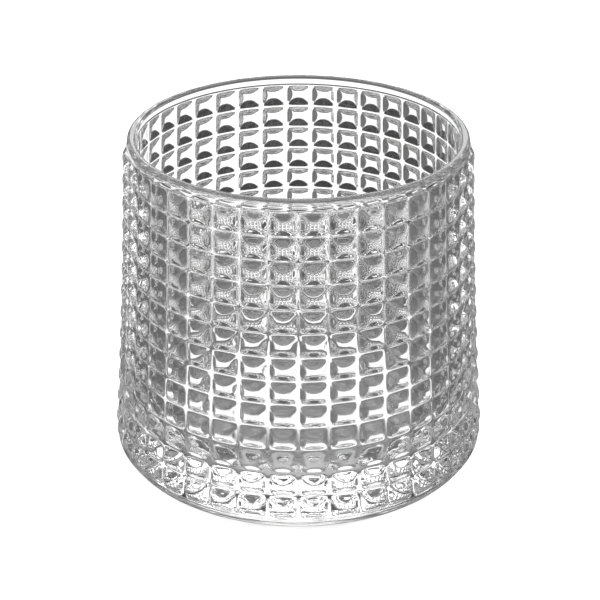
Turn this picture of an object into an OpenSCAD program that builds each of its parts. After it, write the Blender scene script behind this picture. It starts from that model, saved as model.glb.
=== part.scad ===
// Studded rocks tumbler: one piece of pressed clear glass.
// The wall leans out from the lip to the belly, and rows of low pyramid studs wrap all round it.
// +Z is up, and the origin is at the middle of the resting ring.

/* [Overall] */
// Height from the resting ring to the top of the lip
height = 80; // [60:1:110]
// Radius of the groove floor at the top of the studs
neck_r = 38.7; // [28:0.1:50]
// Radius of the groove floor at the bottom of the studs
belly_r = 43.4; // [32:0.1:60]
// How far the wall sags inward from a straight cone, half way up
wall_sag = 0.4; // [0:0.05:1.5]

/* [Lip] */
// How far the plain band at the lip stands out of the highest groove
lip_rise = 0.1; // [0.05:0.05:1.2]
// Thickness of the glass at the lip, which is rounded over
lip_wall = 2.2; // [1.5:0.1:3.5]
// Height of the plain band at the lip
lip_band = 2.6; // [2:0.1:8]

/* [Studs] */
// Studs in one row round the glass
stud_columns = 39; // [24:1:48]
// Rows of studs
stud_rows = 13; // [8:1:16]
// How far each stud stands out of its grooves
stud_rise = 1.2; // [0.5:0.05:2]
// How far the sloping sides of a stud run in from its grooves to its small flat top
stud_slope = 2; // [1:0.05:2.4]

/* [Base] */
// Height of the plain heel below the studs
heel_band = 4.6; // [3:0.1:6]
// Radius of the rounded heel
heel_round = 6.6; // [4.5:0.1:8]
// How far the heel stands out of the lowest groove
heel_rise = 0.9; // [0.4:0.05:1.4]
// Thickness of the glass floor
floor_wall = 9; // [6:0.5:14]
// Depth of the hollow underneath
dish_depth = 1.2; // [0.4:0.1:2.5]
// Width of the flat ring that the glass rests on
ring_width = 3.2; // [2:0.1:6]

/* [Cavity] */
// Glass left between the cavity and the lowest groove
belly_wall = 3.4; // [2:0.1:6]
// Radius of the rounded inner corner
corner_round = 11; // [5:0.5:16]

/* [Hidden] */

// Flat segments in a quarter turn of a rounded profile, and round the axis
quarter_steps = 10;
round_steps = 156;
// Overlap that buries the ends of the studded shell in the plain bands
bury = 0.9;
// How far a plain band covers the edge of the stud field
band_lap = 0.15;
// Clear height by which the cavity cutter passes the lip
cut_margin = 5;

stud_top = height - lip_band;
stud_bottom = heel_band;
stud_pitch_z = (stud_top - stud_bottom) / stud_rows;
stud_pitch_a = 360 / stud_columns;
lip_round = lip_wall / 2;
lip_r = neck_r + lip_rise;
heel_r = belly_r + heel_rise;
ring_outer_r = heel_r - heel_round;
ring_inner_r = ring_outer_r - ring_width;
lip_inner_r = lip_r - lip_wall;
cavity_r = belly_r - belly_wall;

// Radius of the groove floor at height z
function groove_r(z) =
    let (t = (stud_top - z) / (stud_top - stud_bottom))
    neck_r + (belly_r - neck_r) * t - wall_sag * 4 * t * (1 - t);

// Radius of the cavity wall at height z, which follows the outer wall
function inner_r(z) =
    let (t = (height - z) / (height - floor_wall - corner_round))
    lip_inner_r + (cavity_r - lip_inner_r) * t - wall_sag * 4 * t * (1 - t);

// Points of an arc about a centre, from one angle to another
function arc(centre, r, from, to) =
    [for (i = [0 : quarter_steps]) let (a = from + (to - from) * i / quarter_steps)
        centre + r * [cos(a), sin(a)]];

// Point on a ring of the studded shell
function ring_point(r, z, column) =
    [r * sin(column * stud_pitch_a), -r * cos(column * stud_pitch_a), z];

// Half outline of the plain glass: heel, hidden core, band and rounded lip
module plain_outline() {
    heel_start = asin((heel_band + band_lap - heel_round) / heel_round);
    polygon(concat(
        [[0, 0], [ring_outer_r, 0]],
        arc([ring_outer_r, heel_round], heel_round, -90, heel_start),
        [
            [belly_r - bury, heel_band + band_lap],
            [neck_r - bury, stud_top - band_lap],
            [lip_r, stud_top - band_lap]
        ],
        arc([lip_r - lip_round, height - lip_round], lip_round, 0, 180),
        [[lip_inner_r, height - lip_wall], [0, height - lip_wall]]
    ));
}

// Half outline of the cavity: wall, rounded corner and flat floor
module cavity_outline() {
    wall_foot = floor_wall + corner_round;
    wall_steps = 8;
    wall_points = [for (i = [0 : wall_steps])
        let (z = height - lip_round - (height - lip_round - wall_foot) * i / wall_steps)
        [inner_r(z), z]];
    corner_points = arc([cavity_r - corner_round, wall_foot], corner_round, 0, -90);
    polygon(concat(
        [[0, height + cut_margin], [lip_inner_r, height + cut_margin]],
        [[lip_inner_r, height - lip_round]],
        [for (i = [1 : wall_steps]) wall_points[i]],
        [for (i = [1 : quarter_steps]) corner_points[i]],
        [[0, floor_wall]]
    ));
}

// Shallow domed hollow inside the resting ring
module dish() {
    dome_r = (ring_inner_r * ring_inner_r + dish_depth * dish_depth) / (2 * dish_depth);
    dome_angle = asin(ring_inner_r / dome_r);
    rotate_extrude($fn = round_steps)
        polygon(concat(
            [[0, -cut_margin], [ring_inner_r, -cut_margin]],
            [for (i = [0 : quarter_steps]) let (a = dome_angle * (1 - i / quarter_steps))
                [dome_r * sin(a), dish_depth - dome_r + dome_r * cos(a)]]
        ));
}

// Corners of the small flat top of the stud in one cell, in order round it
function stud_table(row, column) =
    let (
        share_z = stud_slope / stud_pitch_z,
        middle_z = stud_bottom + (row + 0.5) * stud_pitch_z,
        share_a = stud_slope / (2 * PI * groove_r(middle_z) / stud_columns)
    )
    [for (corner = [[0, 0], [0, 1], [1, 1], [1, 0]])
        let (
            z = stud_bottom + (row + (corner[1] == 0 ? share_z : 1 - share_z)) * stud_pitch_z,
            place = column + (corner[0] == 0 ? share_a : 1 - share_a)
        )
        ring_point(groove_r(z) + stud_rise, z, place)];

// Closed shell of studs: the grid's corners lie on the groove floors, and each cell has a flat top
module studded_shell() {
    n = stud_columns;
    // One ring of corners a groove, with a buried ring below and above
    low_ring = [for (c = [0 : n - 1]) ring_point(belly_r - bury, stud_bottom - bury, c)];
    high_ring = [for (c = [0 : n - 1]) ring_point(neck_r - bury, stud_top + bury, c)];
    grid = [for (row = [0 : stud_rows]) let (z = stud_bottom + row * stud_pitch_z)
        for (c = [0 : n - 1]) ring_point(groove_r(z), z, c)];
    tables = [for (row = [0 : stud_rows - 1]) for (c = [0 : n - 1]) each stud_table(row, c)];
    rings = stud_rows + 3;
    points = concat(low_ring, grid, high_ring, tables);
    table_start = rings * n;
    cap_faces = [
        [for (c = [0 : n - 1]) c],
        [for (c = [n - 1 : -1 : 0]) (rings - 1) * n + c]
    ];
    // Plain strips that join the buried rings to the grid
    strip_faces = [for (ring = [0, rings - 2]) for (c = [0 : n - 1])
        let (d = (c + 1) % n)
        [ring * n + c, (ring + 1) * n + c, (ring + 1) * n + d, ring * n + d]];
    stud_faces = [for (row = [0 : stud_rows - 1]) for (c = [0 : n - 1])
        let (
            d = (c + 1) % n,
            top = [for (i = [0 : 3]) table_start + (row * n + c) * 4 + i],
            corners = [
                (row + 1) * n + c,
                (row + 2) * n + c,
                (row + 2) * n + d,
                (row + 1) * n + d
            ]
        )
        each concat(
            [top],
            [for (i = [0 : 3]) [corners[i], corners[(i + 1) % 4], top[i]]],
            [for (i = [0 : 3]) [corners[(i + 1) % 4], top[(i + 1) % 4], top[i]]]
        )];
    polyhedron(points, concat(cap_faces, strip_faces, stud_faces));
}

// The whole glass, in one piece
module glass_body() {
    color("gainsboro")
        difference() {
            union() {
                rotate_extrude($fn = round_steps)
                    plain_outline();
                studded_shell();
            }
            rotate_extrude($fn = round_steps)
                cavity_outline();
            dish();
        }
}

glass_body();
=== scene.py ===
import math

import bpy
import numpy as np
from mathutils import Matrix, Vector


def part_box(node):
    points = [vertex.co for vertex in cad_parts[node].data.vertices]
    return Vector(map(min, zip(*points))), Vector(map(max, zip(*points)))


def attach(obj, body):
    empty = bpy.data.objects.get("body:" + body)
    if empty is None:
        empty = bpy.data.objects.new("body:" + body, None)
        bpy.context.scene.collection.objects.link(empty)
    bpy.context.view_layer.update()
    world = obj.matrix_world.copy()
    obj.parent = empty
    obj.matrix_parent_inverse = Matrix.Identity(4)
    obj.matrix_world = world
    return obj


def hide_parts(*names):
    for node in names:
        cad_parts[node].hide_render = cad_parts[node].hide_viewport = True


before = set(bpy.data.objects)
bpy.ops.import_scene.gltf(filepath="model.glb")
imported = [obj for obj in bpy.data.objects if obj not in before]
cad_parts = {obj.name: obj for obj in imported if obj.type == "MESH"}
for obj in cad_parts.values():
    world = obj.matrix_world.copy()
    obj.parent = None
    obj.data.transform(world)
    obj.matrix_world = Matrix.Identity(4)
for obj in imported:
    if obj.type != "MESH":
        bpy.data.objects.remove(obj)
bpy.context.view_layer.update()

# ---------------------------------------------------------------- sizes, in metres
MM = 0.001
WHITE = (1.0, 1.0, 1.0, 1.0)

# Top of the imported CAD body; the other sizes are those of the CAD source
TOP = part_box("glass_body")[1][2]
LIP_BAND = 2.6 * MM
LIP_WALL = 2.2 * MM
LIP_RISE = 0.1 * MM
HEEL_BAND = 4.6 * MM
HEEL_ROUND = 6.6 * MM
HEEL_RISE = 0.9 * MM
FLOOR_WALL = 9.0 * MM
DISH_DEPTH = 1.2 * MM
RING_WIDTH = 3.2 * MM
BELLY_WALL = 3.4 * MM
CORNER_ROUND = 11.0 * MM
WALL_SAG = 0.4 * MM
NECK_R = 38.7 * MM
BELLY_R = 43.4 * MM

STUD_COLUMNS = 39
STUD_ROWS = 13
STUD_TOP = TOP - LIP_BAND
STUD_BOTTOM = HEEL_BAND
LIP_R = NECK_R + LIP_RISE
HEEL_R = BELLY_R + HEEL_RISE
LIP_ROUND = LIP_WALL / 2
LIP_INNER_R = LIP_R - LIP_WALL
CAVITY_R = BELLY_R - BELLY_WALL

PITCH_Z = (STUD_TOP - STUD_BOTTOM) / STUD_ROWS
HALF_Z = PITCH_Z / 2

# A stud is a pyramid whose point is rounded off by a crown, over a narrow flat groove floor
GROOVE_HALF = 0.24 * MM
GROOVE_SOFT = 0.14 * MM
FACET_SLOPE = 0.7
CREASE_SOFT = 0.12 * MM
CROWN_RISE = 1.22 * MM
CROWN_R = 5.0 * MM
CROWN_SOFT = 0.15 * MM
# Places along a stud's side, from corner to corner, closer together near the creases
SIDE_STEPS = [-1.0, -0.86, -0.45, 0.0, 0.45, 0.86]
# Rings of points inside a stud: how far in from the groove's middle they lie, in mm, first at the corners
# and then half way along a side
STUD_RINGS = [(0.14, 0.14), (0.40, 0.40), (0.80, 1.10), (1.20, 1.68), (1.58, 2.06), (2.08, 2.43)]
# Part of a cell over which the slope of the studded wall is measured
SLOPE_STEP = 0.004

# Rings of the hollow underneath, and places across the resting ring as shares of its width
DOME_RINGS = 7
DOME_START = 0.1
RING_SHARES = (0.12, 0.5, 0.88)
# Rounded step from the heel in to the lowest groove. Angles are in degrees
SHOULDER_R = 0.35 * MM
SHOULDER_DROP = 1.4 * SHOULDER_R
SHOULDER_START, SHOULDER_END = 10, 80
# Foot of the plain band at the lip: depth in from the band, and height over the studs
BAND_FOOT = [(0.25 * MM, 0.0), (0.06 * MM, 0.1 * MM), (0.0, 0.35 * MM)]
BAND_HEAD = 1.3 * LIP_ROUND
# Steps of the round stretches, rings of the cavity wall, and rings of its floor as shares of the flat part
HEEL_STEPS = 10
SHOULDER_STEPS = 3
LIP_STEPS = 12
CORNER_STEPS = 9
WALL_RINGS = 9
FLOOR_SHARES = (0.6, 0.1)

# ---------------------------------------------------------------- sizes of the looks and the studio

GLASS_COLOUR = (0.98, 0.98, 0.98, 1.0)
GLASS_INDEX = 1.5
# Faint waves that pressing leaves in the glass
WAVE_SCALE = 210.0
WAVE_DETAIL = 1.5
WAVE_STRENGTH = 0.15
WAVE_DEPTH = 0.0001

FLOOR_SIZE = 3.0
FLOOR_COLOUR = (0.86, 0.86, 0.86, 1.0)
FLOOR_ROUGHNESS = 0.9

CAMERA_DISTANCE = 416.0 * MM
CAMERA_ELEVATION = math.radians(27.02)
AIM_Z = 37.3 * MM
SENSOR_WIDTH = 36.0
LENS = 105.3
SHIFT_X = 0.0026
NEAR_CLIP = 0.01

# Brightness of the dim room, of the light that falls on the floor, and of the backdrop that the camera sees
ROOM_LEVEL = 0.14
FLOOR_LIGHT = 2.6
BACKDROP_WHITE = 1.0
# Cards and gaps of the studio: left, right, low and high edge and softness in degrees, then brightness
CARDS = {
    # Painted shade: dim sheets below the horizon that the glass shows beneath itself, in place of the floor
    # in its own shadow, a little lighter straight down
    "painted_shade_under_glass": (-190.0, 190.0, -100.0, -50.0, 4.0, 0.24),
    "painted_shade_straight_down": (-190.0, 190.0, -100.0, -70.0, 4.0, 0.5),
    "backdrop": (-38.0, 17.0, -33.0, -13.0, 3.0, 1.3),
    "dark_gap": (-60.0, 60.0, -10.0, 5.0, 2.0, 0.05),
    "high_card": (-16.0, 22.0, 12.0, 45.0, 3.0, 2.4),
    "far_left": (-190.0, -108.0, -33.0, -10.0, 3.0, 1.0),
    "far_right": (108.0, 190.0, -33.0, -10.0, 3.0, 1.0),
    "left_card": (-190.0, -105.0, 12.0, 40.0, 5.0, 1.0),
    "right_card": (105.0, 190.0, 12.0, 40.0, 5.0, 1.0),
}
# Most bounces that a path of light may make
LONGEST_PATH = 32


# ---------------------------------------------------------------- profile of the glass

def groove_r(z):
    """Radius of the groove floor at height z."""
    t = (STUD_TOP - z) / (STUD_TOP - STUD_BOTTOM)
    return NECK_R + (BELLY_R - NECK_R) * t - WALL_SAG * 4 * t * (1 - t)


def inner_r(z):
    """Radius of the cavity wall at height z, which follows the outer wall."""
    t = (TOP - z) / (TOP - FLOOR_WALL - CORNER_ROUND)
    return LIP_INNER_R + (CAVITY_R - LIP_INNER_R) * t - WALL_SAG * 4 * t * (1 - t)


def arc(centre_r, centre_z, radius, start, end, steps):
    """Points of an arc in the half plane of the profile. Angles are in degrees."""
    angles = np.radians(np.linspace(start, end, steps + 1))
    return [(centre_r + radius * math.cos(a), centre_z + radius * math.sin(a)) for a in angles]


def soft_min(a, b, softness):
    """The lower of two heights, with the crease between them rounded off."""
    blend = np.clip(0.5 + 0.5 * (b - a) / softness, 0.0, 1.0)
    return b * (1 - blend) + a * blend - softness * blend * (1 - blend)


def half_width(row):
    """Half the distance between the grooves at the sides of a row's studs."""
    return math.pi * groove_r(STUD_BOTTOM + (row + 0.5) * PITCH_Z) / STUD_COLUMNS


def stud_height(u, v):
    """Height over the groove floor at u columns round the glass and v rows up it."""
    across = half_width(np.floor(v))
    x = np.abs(2 * (u % 1) - 1) * across
    y = np.abs(2 * (v % 1) - 1) * HALF_Z
    facets = FACET_SLOPE * (soft_min(across - x, HALF_Z - y, CREASE_SOFT) - GROOVE_HALF)
    crown = CROWN_RISE - (x * x + y * y) / (2 * CROWN_R)
    stud = soft_min(facets, crown, CROWN_SOFT)
    return -soft_min(-stud, np.zeros_like(stud), GROOVE_SOFT)


def wall_point(u, v):
    """Point on the studded wall at u columns round the glass and v rows up it."""
    z = STUD_BOTTOM + v * PITCH_Z
    r = groove_r(z) + stud_height(u, v)
    angle = 2 * math.pi / STUD_COLUMNS * u
    return np.stack([r * np.sin(angle), -r * np.cos(angle), z], axis=-1)


def wall_normal(u, v):
    """Direction square to the studded wall at u columns round the glass and v rows up it."""
    along_u = wall_point(u + SLOPE_STEP, v) - wall_point(u - SLOPE_STEP, v)
    along_v = wall_point(u, v + SLOPE_STEP) - wall_point(u, v - SLOPE_STEP)
    normal = np.cross(along_u, along_v)
    return normal / np.linalg.norm(normal, axis=-1, keepdims=True)


def underside_profile():
    """The shallow hollow underneath and the flat resting ring, from the middle out."""
    ring_outer = HEEL_R - HEEL_ROUND
    ring_inner = ring_outer - RING_WIDTH
    dome_r = (ring_inner ** 2 + DISH_DEPTH ** 2) / (2 * DISH_DEPTH)
    radii = [ring_inner * share for share in np.linspace(DOME_START, 1.0, DOME_RINGS)]
    dome = [(r, DISH_DEPTH - dome_r + math.sqrt(dome_r ** 2 - r ** 2)) for r in radii]
    ring = [(ring_inner + RING_WIDTH * share, 0.0) for share in RING_SHARES]
    return dome + ring


def heel_profile():
    """The rounded heel and its step in to the lowest groove."""
    start = math.degrees(math.asin((HEEL_BAND - HEEL_ROUND) / HEEL_ROUND))
    heel = arc(HEEL_R - HEEL_ROUND, HEEL_ROUND, HEEL_ROUND, -90, start, HEEL_STEPS)
    end_r, end_z = heel[-1]
    shoulder = arc(end_r - SHOULDER_R, end_z - SHOULDER_DROP, SHOULDER_R,
                   SHOULDER_START, SHOULDER_END, SHOULDER_STEPS)
    return heel[:-1] + shoulder


def lip_profile():
    """The plain band over the studs and the rounded lip, up the outside and over."""
    band = [(LIP_R - depth, STUD_TOP + rise) for depth, rise in BAND_FOOT]
    band.append((LIP_R, TOP - BAND_HEAD))
    return band + arc(LIP_R - LIP_ROUND, TOP - LIP_ROUND, LIP_ROUND, 0, 180, LIP_STEPS)


def cavity_profile():
    """The cavity, down its wall, round its corner and in across its floor."""
    foot = FLOOR_WALL + CORNER_ROUND
    wall = [(inner_r(z), z) for z in np.linspace(TOP - LIP_WALL, foot, WALL_RINGS)]
    corner = arc(CAVITY_R - CORNER_ROUND, foot, CORNER_ROUND, 0, -90, CORNER_STEPS)
    floor = [((CAVITY_R - CORNER_ROUND) * share, FLOOR_WALL) for share in FLOOR_SHARES]
    return wall + corner[1:] + floor


# ---------------------------------------------------------------- mesh of the glass

def stud_ring(row, corner_in, middle_in):
    """Places round a stud, as shares of its cell from its low left corner, anticlockwise from outside."""
    half_x = half_width(row)
    places = []
    for side in range(4):
        for s in SIDE_STEPS:
            inset = (middle_in + (corner_in - middle_in) * s * s) * MM
            x, y = half_x - inset, HALF_Z - inset
            x, y = [(s * x, -y), (x, s * y), (-s * x, y), (-x, -s * y)][side]
            places.append((0.5 + x / (2 * half_x), 0.5 + y / (2 * HALF_Z)))
    return places


def border_ring(column, row):
    """Grid places of the points that a stud shares with its neighbours, in the order of stud_ring."""
    n = len(SIDE_STEPS)
    i, j = column * n, row * n
    steps = range(n)
    ring = [(i + k, j) for k in steps] + [(i + n, j + k) for k in steps]
    ring += [(i + n - k, j + n) for k in steps] + [(i, j + n - k) for k in steps]
    return [(a % (STUD_COLUMNS * n), b) for a, b in ring]


def grid_share(index):
    """Position of a border point in cells."""
    n = len(SIDE_STEPS)
    return index // n + (1 + SIDE_STEPS[index % n]) / 2


def stud_field():
    """Places and faces of the whole studded wall, and the index of each border point."""
    places = []
    faces = []
    border = {}
    for row in range(STUD_ROWS):
        rings = [stud_ring(row, *depths) for depths in STUD_RINGS]
        for column in range(STUD_COLUMNS):
            outer = []
            for key in border_ring(column, row):
                if key not in border:
                    border[key] = len(places)
                    places.append((grid_share(key[0]), grid_share(key[1])))
                outer.append(border[key])
            for ring in rings:
                inner = range(len(places), len(places) + len(ring))
                places += [(column + x, row + y) for x, y in ring]
                faces += ring_faces(outer, inner)
                outer = inner
            places.append((column + 0.5, row + 0.5))
            faces += fan_faces(outer, len(places) - 1)
    return np.array(places), faces, border


def ring_faces(low_ring, high_ring):
    n = len(low_ring)
    return [[low_ring[i], low_ring[(i + 1) % n], high_ring[(i + 1) % n], high_ring[i]] for i in range(n)]


def fan_faces(ring, centre):
    n = len(ring)
    return [[ring[i], ring[(i + 1) % n], centre] for i in range(n)]


def lathe(profile, first, angles):
    """Points of the plain rings of a profile, and their indices from first on."""
    n = len(angles)
    points = [(r * math.sin(a), -r * math.cos(a), z) for r, z in profile for a in angles]
    rings = [range(first + i * n, first + (i + 1) * n) for i in range(len(profile))]
    return np.array(points), rings


def glass_mesh():
    """The whole glass as one closed skin, with normals on the studs that follow their curves."""
    places, faces, border = stud_field()
    u, v = places[:, 0], places[:, 1]
    studs = wall_point(u, v)
    columns = STUD_COLUMNS * len(SIDE_STEPS)
    angles = [grid_share(i) * 2 * math.pi / STUD_COLUMNS for i in range(columns)]
    below, low_rings = lathe(underside_profile() + heel_profile(), len(studs), angles)
    above, high_rings = lathe(lip_profile() + cavity_profile(), len(studs) + len(below), angles)
    stud_foot = [border[i, 0] for i in range(columns)]
    stud_head = [border[i, STUD_ROWS * len(SIDE_STEPS)] for i in range(columns)]
    poles = np.array([[0.0, 0.0, DISH_DEPTH], [0.0, 0.0, FLOOR_WALL]])
    points = np.concatenate([studs, below, above, poles])
    for rings in (low_rings + [stud_foot], [stud_head] + high_rings):
        for low_ring, high_ring in zip(rings, rings[1:]):
            faces += ring_faces(low_ring, high_ring)
    faces += fan_faces(low_rings[0][::-1], len(points) - 2)
    faces += fan_faces(high_rings[-1], len(points) - 1)
    mesh = bpy.data.meshes.new("pressed_glass")
    mesh.from_pydata(points.tolist(), [], faces)
    mesh.shade_smooth()
    # A zero normal leaves the plain rings with the mesh's own smooth normals
    normals = np.zeros_like(points)
    normals[:len(studs)] = wall_normal(u, v)
    mesh.normals_split_custom_set_from_vertices(normals.tolist())
    return mesh


# ---------------------------------------------------------------- materials

def clear_glass():
    material = bpy.data.materials.new("clear_glass")
    material.use_nodes = True
    nodes = material.node_tree.nodes
    links = material.node_tree.links
    shader = nodes["Principled BSDF"]
    shader.inputs["Base Color"].default_value = GLASS_COLOUR
    shader.inputs["Transmission Weight"].default_value = 1.0
    shader.inputs["Roughness"].default_value = 0.0
    shader.inputs["IOR"].default_value = GLASS_INDEX
    place = nodes.new("ShaderNodeTexCoord")
    waves = nodes.new("ShaderNodeTexNoise")
    waves.inputs["Scale"].default_value = WAVE_SCALE
    waves.inputs["Detail"].default_value = WAVE_DETAIL
    bump = nodes.new("ShaderNodeBump")
    bump.inputs["Strength"].default_value = WAVE_STRENGTH
    bump.inputs["Distance"].default_value = WAVE_DEPTH
    links.new(place.outputs["Object"], waves.inputs["Vector"])
    links.new(waves.outputs["Fac"], bump.inputs["Height"])
    links.new(bump.outputs["Normal"], shader.inputs["Normal"])
    return material


def floor_material():
    material = bpy.data.materials.new("pale_floor")
    material.use_nodes = True
    shader = material.node_tree.nodes["Principled BSDF"]
    shader.inputs["Base Color"].default_value = FLOOR_COLOUR
    shader.inputs["Roughness"].default_value = FLOOR_ROUGHNESS
    shader.inputs["Specular IOR Level"].default_value = 0.0
    return material


# ---------------------------------------------------------------- camera, floor and light

def make_camera():
    camera = bpy.data.cameras.new("camera")
    camera.sensor_width = SENSOR_WIDTH
    camera.lens = LENS
    camera.shift_x = SHIFT_X
    camera.clip_start = NEAR_CLIP
    eye = bpy.data.objects.new("camera", camera)
    eye_y = -CAMERA_DISTANCE * math.cos(CAMERA_ELEVATION)
    eye.location = (0, eye_y, AIM_Z + CAMERA_DISTANCE * math.sin(CAMERA_ELEVATION))
    eye.rotation_euler = (math.pi / 2 - CAMERA_ELEVATION, 0, 0)
    bpy.context.collection.objects.link(eye)
    bpy.context.scene.camera = eye


def make_floor():
    """A plain floor, which the glass doesn't show: what the glass shows comes from the cards."""
    bpy.ops.mesh.primitive_plane_add(size=FLOOR_SIZE, location=(0, 0, 0))
    floor = bpy.context.object
    floor.name = "floor"
    floor.data.materials.append(floor_material())
    floor.visible_transmission = False
    floor.visible_glossy = False


def soft_window(nodes, links, value, low, high, softness):
    """1 between two angles and 0 outside them, with soft edges. Angles are in degrees."""
    edges = []
    for start, end in ((low - softness, low + softness), (high + softness, high - softness)):
        edge = nodes.new("ShaderNodeMapRange")
        edge.interpolation_type = "SMOOTHSTEP"
        edge.inputs["From Min"].default_value = math.radians(start)
        edge.inputs["From Max"].default_value = math.radians(end)
        links.new(value, edge.inputs["Value"])
        edges.append(edge.outputs["Result"])
    return multiply(nodes, links, *edges)


def multiply(nodes, links, first, second):
    product = nodes.new("ShaderNodeMath")
    product.operation = "MULTIPLY"
    links.new(first, product.inputs[0])
    links.new(second, product.inputs[1])
    return product.outputs["Value"]


def mix_level(nodes, links, share, low, high):
    """A brightness between low and high, each a number or a node's output."""
    mix = nodes.new("ShaderNodeMix")
    links.new(share, mix.inputs["Factor"])
    for name, level in (("A", low), ("B", high)):
        if isinstance(level, float):
            mix.inputs[name].default_value = level
        else:
            links.new(level, mix.inputs[name])
    return mix.outputs["Result"]


def bearing_and_height(nodes, links):
    """Angle round from +Y towards +X, and angle over the horizon, of a direction in the studio."""
    place = nodes.new("ShaderNodeTexCoord")
    parts = nodes.new("ShaderNodeSeparateXYZ")
    links.new(place.outputs["Generated"], parts.inputs["Vector"])
    bearing = nodes.new("ShaderNodeMath")
    bearing.operation = "ARCTAN2"
    links.new(parts.outputs["X"], bearing.inputs[0])
    links.new(parts.outputs["Y"], bearing.inputs[1])
    height = nodes.new("ShaderNodeMath")
    height.operation = "ARCSINE"
    links.new(parts.outputs["Z"], height.inputs[0])
    return bearing.outputs["Value"], height.outputs["Value"]


def make_world():
    """Soft cards round the glass, which it refracts and reflects; the floor and the view get plain white."""
    world = bpy.data.worlds.new("studio")
    bpy.context.scene.world = world
    world.use_nodes = True
    nodes = world.node_tree.nodes
    links = world.node_tree.links
    bearing, height = bearing_and_height(nodes, links)
    level = ROOM_LEVEL
    for left, right, low_edge, high_edge, softness, strength in CARDS.values():
        across = soft_window(nodes, links, bearing, left, right, softness)
        up = soft_window(nodes, links, height, low_edge, high_edge, softness)
        level = mix_level(nodes, links, multiply(nodes, links, across, up), level, strength)
    path = nodes.new("ShaderNodeLightPath")
    for ray, strength in (("Diffuse Depth", FLOOR_LIGHT), ("Is Camera Ray", BACKDROP_WHITE)):
        level = mix_level(nodes, links, path.outputs[ray], level, strength)
    links.new(level, nodes["Background"].inputs["Strength"])
    nodes["Background"].inputs["Color"].default_value = WHITE


def carry_light_through_glass():
    """Light crosses the thick base by many inner reflections, so each path may be long."""
    cycles = bpy.context.scene.cycles
    cycles.max_bounces = LONGEST_PATH
    cycles.transmission_bounces = LONGEST_PATH
    cycles.glossy_bounces = LONGEST_PATH


make_camera()
make_floor()
make_world()
carry_light_through_glass()

glass = bpy.data.objects.new("pressed_tumbler", glass_mesh())
bpy.context.collection.objects.link(glass)
glass.data.materials.append(clear_glass())
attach(glass, "root")
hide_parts("glass_body")

bpy.context.scene.view_settings.view_transform = "Standard"
